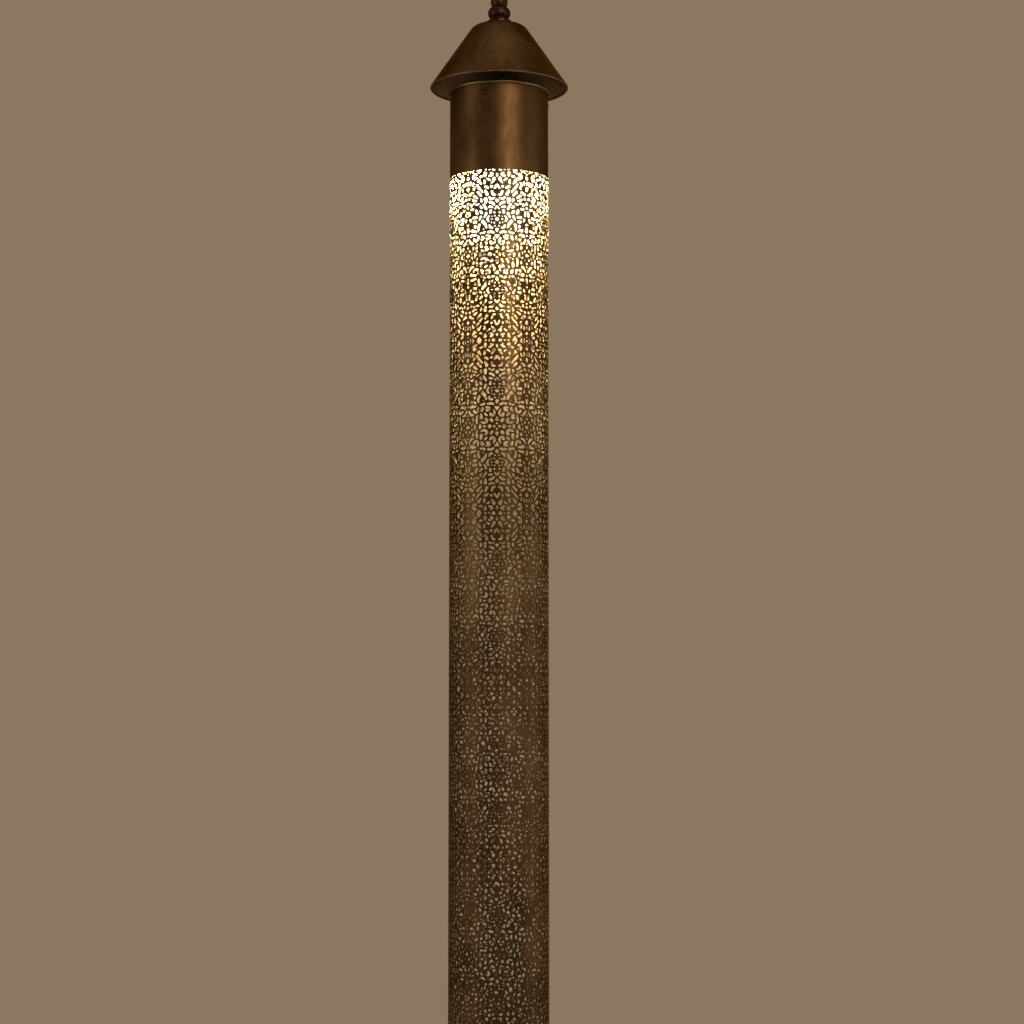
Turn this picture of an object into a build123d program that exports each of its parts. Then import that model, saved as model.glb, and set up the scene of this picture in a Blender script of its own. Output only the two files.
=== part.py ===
from build123d import *
import os
from math import cos, radians, sin, sqrt

# Pendant lamp: a long pierced brass tube under a spun conical cap, hung on a ring.
# Millimetres, +Z up. The origin is where a hook bears inside the hanging ring.
# Azimuth 0 faces -Y, and azimuths grow towards +X.

# Clearances
thread_play = 0.05
face_gap = 0.05
hole_play = 0.2
slip_gap = 0.4
contact_gap = 0.2

# Hanging ring and the eye of the loop that hangs on it
ring_bore = 18.0
ring_wire = 4.0
eye_thickness = 4.0
eye_wall = 4.0
eye_slack = 0.9
eye_web = 9.0
eye_rounding = 0.6

# Boss of the loop, with the side hole for a supply cord
boss_r = 8.0
boss_height = 21.0
boss_roof = 5.0
boss_dome = 3.0
boss_sink = 1.0
rod_grip = 7.0
bush_bore_r = 3.1
bush_wall = 0.8
bush_flange = 1.2
bush_flange_t = 1.2
spot_depth = 1.0

# Hollow threaded rod, its nuts and washers
rod_r = 5.0
rod_bore_r = 3.5
nut_flats = 14.0
nut_t = 3.0
washer_r = 9.0
washer_t = 1.0

# Turned finial: radii and heights above the cap
finial_height = 34.4
foot_r = 12.4
foot_edge = 4.2
low_neck_r = 9.3
low_neck_z = 7.4
low_bead_r = 11.5
low_bead_z = 12.7
mid_neck_r = 7.0
mid_neck_z = 19.0
top_bead_r = 8.7
top_bead_z = 24.1
top_neck_r = 7.0
top_neck_z = 29.2

# Spun cap
cap_height = 66.7
cap_wall = 1.2
cap_flat_r = 12.6
cap_shoulder_r = 26.3
cap_shoulder_drop = 1.3
cap_shoulder_round = 12.0
brim_r = 70.4
lip_r = 1.1
lip_lean = 35.0

# Tube, with a half-round ring at each end
cap_clear = 2.9
tube_r = 50.0
tube_wall = 1.0
plain_top = 91.2
plain_bottom = 48.8
pierced_length = 860.0
window_columns = 12
window_rows = 15
window_width = 16.0
window_gap = 9.0
window_side_share = 0.72
bead_height = 3.6
bead_foot = 0.4

# Gallery inside the top of the tube
gallery_recess = 1.0
gallery_wall = 1.2
skirt_height = 20.0

# Clamp screws through the tube, in slots of the gallery's skirt
screw_count = 3
screw_azimuth = -16.5
screw_drop = 11.8
screw_shank_r = 1.45
screw_head_r = 2.8
screw_head_h = 2.0
screw_length = 7.6
clamp_nut_flats = 5.5
clamp_nut_t = 2.4

# Earth terminal on the gallery
earth_x = 26.0
earth_shank_r = 2.0
earth_head_r = 4.0
earth_head_h = 2.6
earth_nut_flats = 7.0
earth_nut_t = 3.2
earth_washer_r = 4.2
earth_washer_t = 0.8

# Lampholder
neck_r = 7.5
neck_height = 8.0
holder_r = 19.5
holder_dome = 11.0
holder_skirt = 7.0
holder_wall = 1.0
body_length = 35.0
body_lip = 1.0
stop_bead_h = 2.0
shade_ring_r = 23.0
shade_ring_h = 7.0
shade_ring_drop = 11.0
insert_block = 14.0
insert_sleeve = 18.0
insert_wall = 2.6
shell_wall = 0.5
shell_flange_r = 10.0
shell_length = 17.0
strip_width = 5.0
strip_t = 0.5
strip_sag = 2.6
strip_reach = 8.6
terminal_x = 10.0
terminal_head_r = 2.75
terminal_head_h = 2.0
terminal_shank_r = 1.5
terminal_depth = 6.0

# Bulb
bulb_length = 105.0
globe_r = 30.0
glass_wall = 0.8
bulb_neck_r = 12.9
bulb_base_r = 13.2
bulb_base_length = 21.0
thread_pitch = 3.6
thread_depth = 0.7
base_wall = 0.5
insulator_h = 3.6
insulator_top_r = 5.6
contact_r = 4.4
contact_h = 1.4
stem_r = 4.0
stem_length = 50.0
filament_count = 4
filament_r = 1.1
filament_length = 34.0
filament_spread = 8.0
wire_r = 0.4

# Heights worked out from the sizes above
ring_mean_r = ring_bore / 2 + ring_wire / 2
ring_z = -ring_bore / 2
hinge_z = ring_z - ring_mean_r
eye_hole_r = ring_wire / 2 + eye_slack
ring_rise = ring_mean_r - sqrt(ring_mean_r**2 - (eye_thickness / 2) ** 2)
eye_seat = ring_rise + 0.12
eye_z = hinge_z + ring_wire / 2 + eye_seat - eye_hole_r
eye_r = eye_hole_r + eye_wall
boss_top = eye_z - eye_r + boss_sink
boss_bottom = boss_top - boss_height
bush_r = bush_bore_r + bush_wall
rod_top = boss_bottom + rod_grip
inlet_z = (rod_top + boss_top - boss_roof) / 2
cap_top = boss_bottom - finial_height
cap_bottom = cap_top - cap_height
tube_top = cap_bottom - cap_clear
pierced_top = tube_top - plain_top
tube_bottom = pierced_top - pierced_length - plain_bottom
tube_length = tube_top - tube_bottom
tube_bore_r = tube_r - tube_wall
window_pitch = pierced_length / window_rows
window_height = window_pitch - window_gap
window_side = window_height * window_side_share
gallery_top = tube_top - gallery_recess
gallery_under = gallery_top - gallery_wall
skirt_r = tube_bore_r - slip_gap
skirt_bore_r = skirt_r - gallery_wall
screw_z = tube_top - screw_drop
holder_top = gallery_under - washer_t - nut_t
rod_bottom = holder_top - neck_height + 1
dome_bottom = holder_top - neck_height - holder_dome
skirt_bottom = dome_bottom - holder_skirt
body_r = holder_r - holder_wall - thread_play
body_top = dome_bottom - 1
body_bottom = body_top - body_length
insert_r = body_r - holder_wall - hole_play
insert_top = body_bottom + body_lip + face_gap + insert_sleeve + insert_block
block_under = insert_top - insert_block
insert_bore_r = insert_r - insert_wall
shell_r = insert_bore_r - face_gap
bulb_top = block_under - strip_sag - strip_t - contact_gap
bulb_bottom = bulb_top - bulb_length
globe_z = bulb_bottom + globe_r
insulator_top = bulb_top - contact_h
base_top = insulator_top - insulator_h
base_bottom = base_top - bulb_base_length


def outward(azimuth, height, distance=0.0):
    """Plane that faces away from the axis at an azimuth, with its y upwards."""
    a = radians(azimuth)
    normal = (sin(a), -cos(a), 0)
    origin = (distance * normal[0], distance * normal[1], height)
    return Plane(origin=origin, x_dir=(cos(a), sin(a), 0), z_dir=normal)


def spun(points):
    """Solid turned about the axis from a closed outline of (radius, height) points."""
    with BuildPart() as turned:
        with BuildSketch(Plane.XZ):
            with BuildLine():
                Polyline(*points, close=True)
            make_face()
        revolve(axis=Axis.Z)
    return turned.part


def collar(outer_r, bore_r, top, bottom):
    """Plain ring between two heights."""
    return spun([(bore_r, bottom), (outer_r, bottom), (outer_r, top), (bore_r, top)])


def hex_nut(flats, thickness, bore_r):
    """Hexagon nut that stands on its own z=0, with its top corners eased."""
    corner = flats / sqrt(3)
    with BuildPart() as nut:
        with BuildSketch():
            RegularPolygon(corner, 6)
            Circle(bore_r, mode=Mode.SUBTRACT)
        extrude(amount=thickness)
        with BuildSketch(Plane.XZ):
            with BuildLine():
                ease = corner - flats / 2
                Polyline(
                    (0, 0),
                    (corner, 0),
                    (corner, thickness - ease),
                    (flats / 2, thickness),
                    (0, thickness),
                    close=True,
                )
            make_face()
        revolve(axis=Axis.Z, mode=Mode.INTERSECT)
    return nut.part


def pan_screw(head_r, head_h, shank_r, length):
    """Slotted pan-head screw: the head's seat is at z=0 and the shank points down."""
    with BuildPart() as screw:
        with BuildSketch(Plane.XZ):
            with BuildLine():
                Line((0, -length), (shank_r, -length))
                Line((shank_r, -length), (shank_r, 0))
                Line((shank_r, 0), (head_r, 0))
                Line((head_r, 0), (head_r, head_h * 0.35))
                RadiusArc((head_r, head_h * 0.35), (head_r * 0.45, head_h), -head_r)
                Line((head_r * 0.45, head_h), (0, head_h))
                Line((0, head_h), (0, -length))
            make_face()
        revolve(axis=Axis.Z)
        with BuildSketch(Plane.XY.offset(head_h)):
            Rectangle(2.2 * head_r, head_r * 0.3)
        extrude(amount=-head_h * 0.45, mode=Mode.SUBTRACT)
    return screw.part


def finish(made, name):
    """Names a finished piece and writes it."""
    made.part.label = name
    export_step(made.part, f"parts/{name}.step")


os.makedirs("parts", exist_ok=True)

# Hanging ring: a round wire ring that faces the viewer
with BuildPart(Plane(origin=(0, 0, ring_z), z_dir=(0, 1, 0))) as hanging_ring:
    Torus(ring_mean_r, ring_wire / 2)
finish(hanging_ring, "hanging_ring")

# Hanging loop: an eye across the ring, on a hollow boss with a side hole for the cord
with BuildPart() as hanging_loop:
    with BuildSketch(Plane.YZ):
        with Locations((0, eye_z)):
            Circle(eye_r)
        with Locations((0, (eye_z + boss_top) / 2 - boss_sink)):
            Rectangle(eye_web, eye_z - boss_top + 2 * boss_sink)
        with Locations((0, eye_z)):
            Circle(eye_hole_r, mode=Mode.SUBTRACT)
    extrude(amount=eye_thickness / 2, both=True)
    eye_rims = edges().filter_by(GeomType.CIRCLE).filter_by(lambda e: abs(e.radius - eye_hole_r) < 0.01)
    fillet(eye_rims, eye_rounding)
    with BuildSketch(Plane.XZ):
        with BuildLine():
            Line((0, boss_bottom), (boss_r, boss_bottom))
            Line((boss_r, boss_bottom), (boss_r, boss_top - boss_dome))
            RadiusArc((boss_r, boss_top - boss_dome), (boss_r / 2, boss_top), -boss_r * 0.6)
            Line((boss_r / 2, boss_top), (0, boss_top))
            Line((0, boss_top), (0, boss_bottom))
        make_face()
    revolve(axis=Axis.Z)
    with BuildSketch(Plane.XY.offset(boss_bottom)):
        Circle(rod_r + thread_play)
    extrude(amount=boss_height - boss_roof, mode=Mode.SUBTRACT)
    with BuildSketch(outward(180, inlet_z)):
        Circle(bush_r + thread_play)
    extrude(amount=2 * boss_r, mode=Mode.SUBTRACT)
    with BuildSketch(outward(180, inlet_z, boss_r - spot_depth)):
        Circle(bush_r + bush_flange + hole_play)
    extrude(amount=2 * spot_depth, mode=Mode.SUBTRACT)
finish(hanging_loop, "hanging_loop")

# Inlet bush: a flanged sleeve in the side hole
with BuildPart() as inlet_bush:
    with BuildSketch(outward(180, inlet_z, boss_r - spot_depth)):
        Circle(bush_r + bush_flange)
    extrude(amount=bush_flange_t)
    with BuildSketch(outward(180, inlet_z, sqrt(rod_r**2 - bush_bore_r**2) + bush_wall)):
        Circle(bush_r)
    extrude(until=Until.NEXT)
    with BuildSketch(outward(180, inlet_z)):
        Circle(bush_bore_r)
    extrude(amount=2 * boss_r, mode=Mode.SUBTRACT)
    outer_rim = faces().sort_by(Axis.Y)[-1].edges()
    fillet(outer_rim, bush_flange_t * 0.3)
finish(inlet_bush, "inlet_bush")

# Finial: two round beads between narrow necks, on a small foot
with BuildPart() as finial:
    with BuildSketch(Plane.XZ.offset(0)):
        with BuildLine():
            foot = [(foot_r, cap_top), (foot_r, cap_top + foot_edge)]
            low_neck = (low_neck_r, cap_top + low_neck_z)
            mid_neck = (mid_neck_r, cap_top + mid_neck_z)
            top_neck = (top_neck_r, cap_top + top_neck_z)
            collar_foot = (boss_r, top_neck[1] + (boss_r - top_neck_r))
            Line(*foot)
            RadiusArc(foot[1], low_neck, (foot_r - low_neck_r) * 1.2)
            ThreePointArc(low_neck, (low_bead_r, cap_top + low_bead_z), mid_neck)
            ThreePointArc(mid_neck, (top_bead_r, cap_top + top_bead_z), top_neck)
            Line(top_neck, collar_foot)
            Line(collar_foot, (boss_r, boss_bottom))
            Line((boss_r, boss_bottom), (rod_r + thread_play, boss_bottom))
            Line((rod_r + thread_play, boss_bottom), (rod_r + thread_play, cap_top))
            Line((rod_r + thread_play, cap_top), foot[0])
        make_face()
    revolve(axis=Axis.Z)
finish(finial, "finial")

# Cap: a spun cone with a rounded shoulder, which runs smoothly into a rolled lip round the brim
lip_middle = (brim_r - lip_r, cap_bottom + lip_r)
lip_join = (lip_middle[0] + lip_r * cos(radians(lip_lean)), lip_middle[1] + lip_r * sin(radians(lip_lean)))
with BuildPart() as cap:
    with BuildSketch(Plane.XZ):
        with BuildLine():
            FilletPolyline(
                (rod_r + hole_play, cap_top),
                (cap_flat_r, cap_top),
                (cap_shoulder_r, cap_top - cap_shoulder_drop),
                lip_join,
                radius=[cap_flat_r, cap_shoulder_round],
            )
            offset(amount=cap_wall, side=Side.RIGHT)
        make_face()
        with Locations(lip_middle):
            Circle(lip_r)
    revolve(axis=Axis.Z)
finish(cap, "cap")

# Washer and nut that lock the cap against the finial
cap_under = cap_top - cap_wall
with BuildPart() as cap_washer:
    add(collar(washer_r, rod_r + hole_play, cap_under, cap_under - washer_t))
finish(cap_washer, "cap_washer")

rod_nut = hex_nut(nut_flats, nut_t, rod_r + thread_play)
with BuildPart() as cap_nut:
    with Locations((0, 0, cap_under - washer_t - nut_t)):
        add(rod_nut)
finish(cap_nut, "cap_nut")

# Hollow threaded rod from the loop down to the lampholder
with BuildPart() as hollow_rod:
    add(collar(rod_r, rod_bore_r, rod_top, rod_bottom))
    chamfer(edges().filter_by(GeomType.CIRCLE), (rod_r - rod_bore_r) * 0.3)
finish(hollow_rod, "hollow_rod")

# Gallery: a disc with a skirt, slotted from below for the clamp screws
screw_azimuths = [screw_azimuth + k * 360 / screw_count for k in range(screw_count)]
slot_half = screw_shank_r + hole_play
with BuildPart() as gallery:
    skirt_bottom_z = gallery_top - skirt_height
    add(
        spun(
            [
                (rod_r + hole_play, gallery_top),
                (skirt_r, gallery_top),
                (skirt_r, skirt_bottom_z),
                (skirt_bore_r, skirt_bottom_z),
                (skirt_bore_r, gallery_under),
                (rod_r + hole_play, gallery_under),
            ]
        )
    )
    top_rim = edges().filter_by(GeomType.CIRCLE).group_by(Axis.Z)[-1].sort_by(SortBy.RADIUS)[-1]
    fillet(top_rim, gallery_wall * 0.8)
    for azimuth in screw_azimuths:
        slot_length = screw_z - skirt_bottom_z
        with BuildSketch(outward(azimuth, screw_z)):
            Circle(slot_half)
            with Locations((0, -slot_length / 2)):
                Rectangle(2 * slot_half, slot_length)
        extrude(amount=tube_r, mode=Mode.SUBTRACT)
    with BuildSketch(Plane.XY.offset(gallery_top)):
        with Locations((earth_x, 0)):
            Circle(earth_shank_r + hole_play)
    extrude(amount=-gallery_wall, mode=Mode.SUBTRACT)
finish(gallery, "gallery")

# Washers and nuts above and below the gallery
with BuildPart() as gallery_washers:
    add(collar(washer_r, rod_r + hole_play, gallery_top + washer_t, gallery_top))
    add(collar(washer_r, rod_r + hole_play, gallery_under, gallery_under - washer_t))
finish(gallery_washers, "gallery_washers")

with BuildPart() as gallery_nuts:
    with Locations((0, 0, gallery_top + washer_t), (0, 0, gallery_under - washer_t - nut_t)):
        add(rod_nut)
finish(gallery_nuts, "gallery_nuts")

# Earth terminal: screw from above, star washer and nut below
earth_length = gallery_wall + earth_washer_t + earth_nut_t + 1
with BuildPart() as earth_screw:
    with Locations((earth_x, 0, gallery_top)):
        add(pan_screw(earth_head_r, earth_head_h, earth_shank_r, earth_length))
finish(earth_screw, "earth_screw")

with BuildPart() as earth_washer:
    with BuildSketch(Plane.XY.offset(gallery_under)):
        with Locations((earth_x, 0)):
            Circle(earth_washer_r)
            Circle(earth_shank_r + hole_play, mode=Mode.SUBTRACT)
    extrude(amount=-earth_washer_t)
finish(earth_washer, "earth_washer")

with BuildPart() as earth_nut:
    with Locations((earth_x, 0, gallery_under - earth_washer_t - earth_nut_t)):
        add(hex_nut(earth_nut_flats, earth_nut_t, earth_shank_r + thread_play))
finish(earth_nut, "earth_nut")


# Plain grid of pointed openings, in place of the fine arabesque that is pierced over the same length
window_outline = [
    (0, -window_height / 2),
    (window_width / 2, -window_side / 2),
    (window_width / 2, window_side / 2),
    (0, window_height / 2),
    (-window_width / 2, window_side / 2),
    (-window_width / 2, -window_side / 2),
]
windows = []
for row in range(window_rows):
    for column in range(window_columns):
        azimuth = column * 360 / window_columns
        height = pierced_top - window_pitch * (row + 0.5)
        with BuildPart() as window:
            with BuildSketch(outward(azimuth, height, tube_r * 0.7)):
                Polygon(*window_outline, align=None)
            extrude(amount=tube_r)
        windows.append(window.part)

# Tube, with its openings and a hole for each clamp screw
with BuildPart() as tube:
    with BuildSketch(Plane.XY.offset(tube_bottom)):
        Circle(tube_r)
        Circle(tube_bore_r, mode=Mode.SUBTRACT)
    extrude(amount=tube_length)
    add(windows, mode=Mode.SUBTRACT)
    for azimuth in screw_azimuths:
        with BuildSketch(outward(azimuth, screw_z)):
            Circle(screw_shank_r + hole_play)
        extrude(amount=tube_r + tube_wall, mode=Mode.SUBTRACT)
finish(tube, "tube")


def half_round(top):
    """Half-round ring that stands out from the tube, below a height."""
    inner_r = tube_r + face_gap
    round_r = inner_r + bead_foot
    under = top - bead_height
    with BuildPart() as ring:
        with BuildSketch(Plane.XZ):
            with BuildLine():
                Polyline((round_r, under), (inner_r, under), (inner_r, top), (round_r, top))
                ThreePointArc(
                    (round_r, top),
                    (round_r + bead_height / 2, top - bead_height / 2),
                    (round_r, under),
                )
            make_face()
        revolve(axis=Axis.Z)
    return ring.part


# Half-round rings round both ends of the tube
with BuildPart() as top_bead:
    add(half_round(tube_top))
finish(top_bead, "top_bead")

with BuildPart() as bottom_bead:
    add(half_round(tube_bottom + bead_height))
finish(bottom_bead, "bottom_bead")

# Clamp screws with their nuts inside the skirt
clamp_screw = pan_screw(screw_head_r, screw_head_h, screw_shank_r, screw_length)
with BuildPart() as clamp_screws:
    with Locations(*[outward(a, screw_z, tube_r + face_gap) for a in screw_azimuths]):
        add(clamp_screw)
finish(clamp_screws, "clamp_screws")

clamp_corner = clamp_nut_flats / sqrt(3)
clamp_nut_face = sqrt(skirt_bore_r**2 - clamp_corner**2) - face_gap
clamp_nut = hex_nut(clamp_nut_flats, clamp_nut_t, screw_shank_r + thread_play)
with BuildPart() as clamp_nuts:
    with Locations(*[outward(a, screw_z, clamp_nut_face - clamp_nut_t) for a in screw_azimuths]):
        add(clamp_nut)
finish(clamp_nuts, "clamp_nuts")

# Lampholder cap: neck threaded on the rod, and a dome with a skirt over the body
neck_bottom = holder_top - neck_height
with BuildPart() as holder_cap:
    with BuildSketch(Plane.XZ):
        with BuildLine():
            Line((rod_r + thread_play, neck_bottom), (rod_r + thread_play, holder_top))
            Line((rod_r + thread_play, holder_top), (neck_r, holder_top))
            Line((neck_r, holder_top), (neck_r, neck_bottom))
            RadiusArc((neck_r, neck_bottom), (holder_r, dome_bottom), holder_r)
            Line((holder_r, dome_bottom), (holder_r, skirt_bottom))
            Line((holder_r, skirt_bottom), (holder_r - holder_wall, skirt_bottom))
            Line((holder_r - holder_wall, skirt_bottom), (holder_r - holder_wall, dome_bottom))
            RadiusArc(
                (holder_r - holder_wall, dome_bottom),
                (neck_r, neck_bottom - holder_wall),
                -holder_r + holder_wall,
            )
            Line((neck_r, neck_bottom - holder_wall), (rod_r + thread_play, neck_bottom - holder_wall))
            Line((rod_r + thread_play, neck_bottom - holder_wall), (rod_r + thread_play, neck_bottom))
        make_face()
    revolve(axis=Axis.Z)
finish(holder_cap, "holder_cap")

# Lampholder body: a brass sleeve with a stop bead, and a lip that carries the insert
with BuildPart() as holder_body:
    stop_top = skirt_bottom - face_gap
    add(
        spun(
            [
                (body_r - holder_wall, body_top),
                (body_r, body_top),
                (body_r, stop_top),
                (holder_r, stop_top),
                (holder_r, stop_top - stop_bead_h),
                (body_r, stop_top - stop_bead_h),
                (body_r, body_bottom),
                (insert_bore_r, body_bottom),
                (insert_bore_r, body_bottom + body_lip),
                (body_r - holder_wall, body_bottom + body_lip),
            ]
        )
    )
finish(holder_body, "holder_body")

# Shade ring on the outside of the body
shade_ring_top = stop_top - stop_bead_h - shade_ring_drop
with BuildPart() as holder_ring:
    hub_r = body_r + thread_play
    add(
        spun(
            [
                (hub_r, shade_ring_top),
                (shade_ring_r, shade_ring_top),
                (shade_ring_r, shade_ring_top - shade_ring_h * 0.3),
                (holder_r + holder_wall, shade_ring_top - shade_ring_h * 0.5),
                (holder_r + holder_wall, shade_ring_top - shade_ring_h),
                (hub_r, shade_ring_top - shade_ring_h),
            ]
        )
    )
finish(holder_ring, "holder_ring")

# Porcelain insert: a block with terminal holes over a sleeve for the threaded shell
terminals = [(-terminal_x, 0), (terminal_x, 0)]
with BuildPart() as holder_insert:
    sleeve_bottom = block_under - insert_sleeve
    add(
        spun(
            [
                (0, insert_top),
                (insert_r - 1, insert_top),
                (insert_r, insert_top - 1),
                (insert_r, sleeve_bottom),
                (insert_bore_r, sleeve_bottom),
                (insert_bore_r, block_under),
                (0, block_under),
            ]
        )
    )
    with BuildSketch(Plane.XY.offset(insert_top)):
        with Locations(*terminals):
            Circle(terminal_shank_r + thread_play)
    extrude(amount=-terminal_depth - 1, mode=Mode.SUBTRACT)
finish(holder_insert, "holder_insert")

with BuildPart() as terminal_screws:
    with Locations(*[(x, y, insert_top) for x, y in terminals]):
        add(pan_screw(terminal_head_r, terminal_head_h, terminal_shank_r, terminal_depth))
finish(terminal_screws, "terminal_screws")

# Threaded brass shell that takes the bulb, with a flange against the block
with BuildPart() as holder_shell:
    shell_top = block_under - face_gap
    add(
        spun(
            [
                (shell_flange_r, shell_top),
                (shell_r, shell_top),
                (shell_r, shell_top - shell_length),
                (shell_r - shell_wall, shell_top - shell_length),
                (shell_r - shell_wall, shell_top - shell_wall),
                (shell_flange_r, shell_top - shell_wall),
            ]
        )
    )
finish(holder_shell, "holder_shell")

# Centre contact: a springy strip fixed at one side, which reaches down to the bulb
with BuildPart() as centre_contact:
    with BuildSketch(Plane.XZ):
        strip_top = block_under - face_gap
        low = block_under - strip_sag
        with BuildLine():
            Polyline(
                (-strip_reach, strip_top),
                (-strip_reach / 2, strip_top),
                (-1.5, low),
                (2.0, low),
                (2.0, low - strip_t),
                (-1.5 - strip_t / 2, low - strip_t),
                (-strip_reach / 2 - strip_t / 2, strip_top - strip_t),
                (-strip_reach, strip_top - strip_t),
                close=True,
            )
        make_face()
    extrude(amount=strip_width / 2, both=True)
finish(centre_contact, "centre_contact")

# Bulb contact and its insulator
with BuildPart() as bulb_contact:
    add(
        spun(
            [
                (0, bulb_top),
                (contact_r * 0.6, bulb_top),
                (contact_r, bulb_top - contact_h * 0.7),
                (contact_r, insulator_top),
                (0, insulator_top),
            ]
        )
    )
finish(bulb_contact, "bulb_contact")

with BuildPart() as bulb_insulator:
    insulator_r = bulb_base_r - thread_depth - base_wall
    add(
        spun(
            [
                (0, insulator_top),
                (insulator_top_r, insulator_top),
                (insulator_r, base_top),
                (0, base_top),
            ]
        )
    )
finish(bulb_insulator, "bulb_insulator")

# Bulb base: a thin brass shell with a rounded thread, drawn as rings
root_r = bulb_base_r - thread_depth
bore_r = root_r - base_wall
turns = int((bulb_base_length - thread_pitch) / thread_pitch)
with BuildPart() as bulb_base:
    with BuildSketch(Plane.XZ):
        with BuildLine():
            for turn in range(turns):
                upper = base_top - turn * thread_pitch
                middle = upper - thread_pitch / 2
                lower = upper - thread_pitch
                ThreePointArc((root_r, upper), (bulb_base_r, middle), (root_r, lower))
            Polyline(
                (root_r, base_top - turns * thread_pitch),
                (root_r, base_bottom + 1),
                (bulb_neck_r + 0.4, base_bottom + 1),
                (bulb_neck_r + 0.4, base_bottom),
                (bulb_neck_r - glass_wall, base_bottom),
                (bulb_neck_r - glass_wall, base_bottom + 1),
                (bore_r, base_bottom + 1),
                (bore_r, base_top),
                (root_r, base_top),
            )
        make_face()
    revolve(axis=Axis.Z)
finish(bulb_base, "bulb_base")


def bulb_form(inset):
    """Solid inside the bulb's outline, drawn in by an inset."""
    r = globe_r - inset
    shoulder = (r * cos(radians(38)), globe_z + r * sin(radians(38)))
    slope = (-sin(radians(38)), cos(radians(38)))
    neck = (bulb_neck_r - inset, base_bottom)
    with BuildPart() as form:
        with BuildSketch(Plane.XZ):
            with BuildLine():
                RadiusArc((0, globe_z - r), shoulder, -r)
                Spline(shoulder, neck, tangents=[slope, (0, 1)])
                Line(neck, (0, base_bottom))
                Line((0, base_bottom), (0, globe_z - r))
            make_face()
        revolve(axis=Axis.Z)
    return form.part


# Bulb glass, open at the neck
with BuildPart() as bulb_glass:
    add(bulb_form(0))
    add(bulb_form(glass_wall), mode=Mode.SUBTRACT)
finish(bulb_glass, "bulb_glass")

# Glass stem, the filaments round it and the wires that hold them
stem_top = base_bottom + 1
stem_bottom = stem_top - stem_length
filament_top = stem_bottom + filament_length / 2
filament_bottom = filament_top - filament_length
with BuildPart() as bulb_stem:
    add(
        spun(
            [
                (0, stem_top),
                (bulb_neck_r - glass_wall - 0.3, stem_top),
                (stem_r, stem_top - stem_length * 0.3),
                (stem_r * 0.5, stem_top - stem_length * 0.45),
                (stem_r * 0.5, stem_bottom),
                (0, stem_bottom),
            ]
        )
    )
finish(bulb_stem, "bulb_stem")

filament_angles = [45 + k * 360 / filament_count for k in range(filament_count)]
with BuildPart() as filaments:
    for angle in filament_angles:
        a = radians(angle)
        at = (filament_spread * cos(a), filament_spread * sin(a))
        with BuildSketch(Plane.XY.offset(filament_bottom)):
            with Locations(at):
                Circle(filament_r)
        extrude(amount=filament_length)
finish(filaments, "filaments")

# Upper wires reach out from the stem, and a lower ring joins the other ends
hub_r = stem_r * 0.5 + face_gap
with BuildPart() as bulb_wires:
    with BuildSketch(Plane.XY.offset(filament_top + face_gap)):
        Circle(hub_r + 2 * wire_r)
        Circle(filament_spread + wire_r)
        Circle(filament_spread - wire_r, mode=Mode.SUBTRACT)
        for angle in filament_angles:
            with Locations(Location((0, 0), angle)):
                Rectangle(filament_spread, 2 * wire_r, align=(Align.MIN, Align.CENTER))
        Circle(hub_r, mode=Mode.SUBTRACT)
    extrude(amount=2 * wire_r)
    with BuildSketch(Plane.XY.offset(filament_bottom - face_gap)):
        Circle(filament_spread + wire_r)
        Circle(filament_spread - wire_r, mode=Mode.SUBTRACT)
    extrude(amount=-2 * wire_r)
finish(bulb_wires, "bulb_wires")
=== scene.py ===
"""The pierced brass pendant lamp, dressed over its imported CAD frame.

Lengths are metres, except that the pierced pattern is drawn in millimetres on the flattened tube.
"""

import math

import bpy
import numpy as np
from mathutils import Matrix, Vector
from mathutils.geometry import delaunay_2d_cdt


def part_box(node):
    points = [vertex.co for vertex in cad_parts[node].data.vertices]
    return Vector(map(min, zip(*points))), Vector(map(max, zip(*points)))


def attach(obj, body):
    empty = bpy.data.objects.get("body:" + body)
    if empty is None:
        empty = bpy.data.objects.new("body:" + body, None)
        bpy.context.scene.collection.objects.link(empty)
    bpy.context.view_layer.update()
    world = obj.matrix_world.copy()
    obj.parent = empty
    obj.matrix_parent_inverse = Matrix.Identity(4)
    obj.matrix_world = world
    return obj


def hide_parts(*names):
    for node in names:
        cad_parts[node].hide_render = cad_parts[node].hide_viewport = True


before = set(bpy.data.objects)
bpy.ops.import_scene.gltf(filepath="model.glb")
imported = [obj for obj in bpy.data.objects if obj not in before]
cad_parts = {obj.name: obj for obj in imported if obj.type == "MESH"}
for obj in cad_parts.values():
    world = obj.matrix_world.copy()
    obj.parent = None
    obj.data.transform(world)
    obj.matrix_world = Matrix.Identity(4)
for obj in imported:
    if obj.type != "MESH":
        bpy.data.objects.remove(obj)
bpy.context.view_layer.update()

MM = 0.001

# The camera: the photograph's long lens, placed below the lamp's middle and looking slightly up.
FOCAL_PIXELS = 2400.0
PHOTO_PIXELS = 1024.0
SENSOR = 36.0  # mm
CAMERA_X = 0.01312
CAMERA_AWAY = 2.402
CAMERA_BELOW_TUBE_TOP = 0.640
CAMERA_PITCH = 5.0  # degrees

# The lit bulb: how bright its glass looks, and the small lamps that carry its light to the
# tube's inside, in two rings round the glass and in a fading line below it.
GLASS_GLOW = 1.9
FILAMENT_GLOW = 14.0
BULB_COLOUR = (1.0, 0.93, 0.78)
SMALL_LAMP_RADIUS = 2.0 * MM
RING_LAMPS = 8
RING_POWER = 0.66  # watts, each
RING_GAP = 3.0 * MM  # from the glass
UPPER_RING = 0.9  # of the globe's radius, above its middle
LINE_LAMPS = 7
LINE_POWER = 0.50  # watts, the first one
LINE_FADE = 0.49  # of the lamp before
LINE_STEP = 0.048
LINE_GAP = 14.0 * MM  # from the glass

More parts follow.
